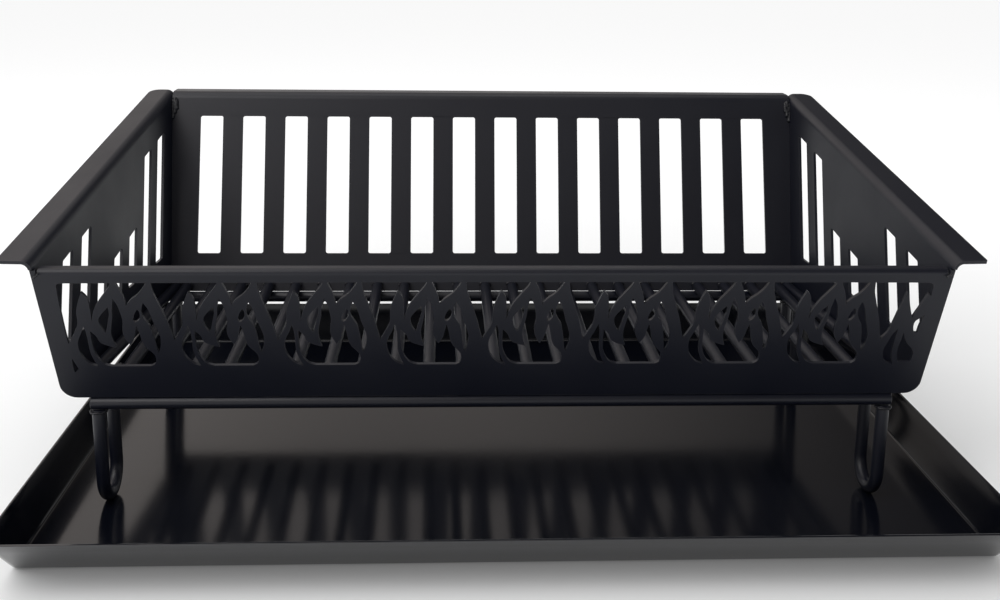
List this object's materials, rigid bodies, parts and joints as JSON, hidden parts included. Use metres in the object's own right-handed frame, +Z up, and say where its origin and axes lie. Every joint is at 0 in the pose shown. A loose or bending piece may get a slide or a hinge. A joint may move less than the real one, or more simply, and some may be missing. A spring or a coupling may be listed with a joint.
{
  "type": "log grate with ash tray",
  "caption": "Open fire basket of black sheet steel with a flame cut-out front and slotted sides and back, on hairpin legs, standing loose in a shallow ash tray.",
  "frame": {"origin": "middle of the ash tray's flat underside, on the hearth", "axes": "+X to the right seen from the front, +Y to the rear (the flame panel faces -Y), +Z up"},
  "size_m": [0.7213, 0.5222, 0.2815],
  "materials": {
    "black_paint": "satin black heat-proof paint on sheet and round bar",
    "tray_paint": "semi-gloss black paint",
    "weld_paint": "satin black paint over rough weld"
  },
  "bodies": {
    "tray": {"ash_tray": "tray_paint"},
    "basket": {"front_panel": "black_paint", "side_panel_left": "black_paint", "side_panel_right": "black_paint", "back_panel": "black_paint", "crossbar_front": "black_paint", "crossbar_rear": "black_paint", "floor_bar_01": "black_paint", "floor_bar_02": "black_paint", "floor_bar_03": "black_paint", "floor_bar_04": "black_paint", "floor_bar_05": "black_paint", "floor_bar_06": "black_paint", "floor_bar_07": "black_paint", "floor_bar_08": "black_paint", "floor_bar_09": "black_paint", "floor_bar_10": "black_paint", "floor_bar_11": "black_paint", "floor_bar_12": "black_paint", "floor_bar_13": "black_paint", "floor_bar_14": "black_paint", "floor_bar_15": "black_paint", "floor_bar_16": "black_paint", "floor_bar_17": "black_paint", "floor_bar_18": "black_paint", "floor_bar_19": "black_paint", "floor_bar_20": "black_paint", "floor_bar_21": "black_paint", "floor_bar_22": "black_paint", "floor_bar_23": "black_paint", "floor_bar_24": "black_paint", "floor_bar_25": "black_paint", "leg_front_left": "black_paint", "leg_front_right": "black_paint", "leg_rear_left": "black_paint", "leg_rear_right": "black_paint", "weld_leg_front_left": "weld_paint", "weld_arm_fore_left": "weld_paint", "weld_arm_aft_left": "weld_paint", "weld_leg_rear_left": "weld_paint", "weld_arm_rear_left": "weld_paint", "weld_back_corner_left": "weld_paint", "weld_front_corner_left": "weld_paint", "weld_leg_front_right": "weld_paint", "weld_arm_fore_right": "weld_paint", "weld_arm_aft_right": "weld_paint", "weld_leg_rear_right": "weld_paint", "weld_arm_rear_right": "weld_paint", "weld_back_corner_right": "weld_paint", "weld_front_corner_right": "weld_paint"}
  },
  "joints": [
    {"name": "basket_lift", "type": "slide", "parent": "tray", "child": "basket", "axis": [0, 0, 1], "range_m": [0, 0.1]}
  ]
}
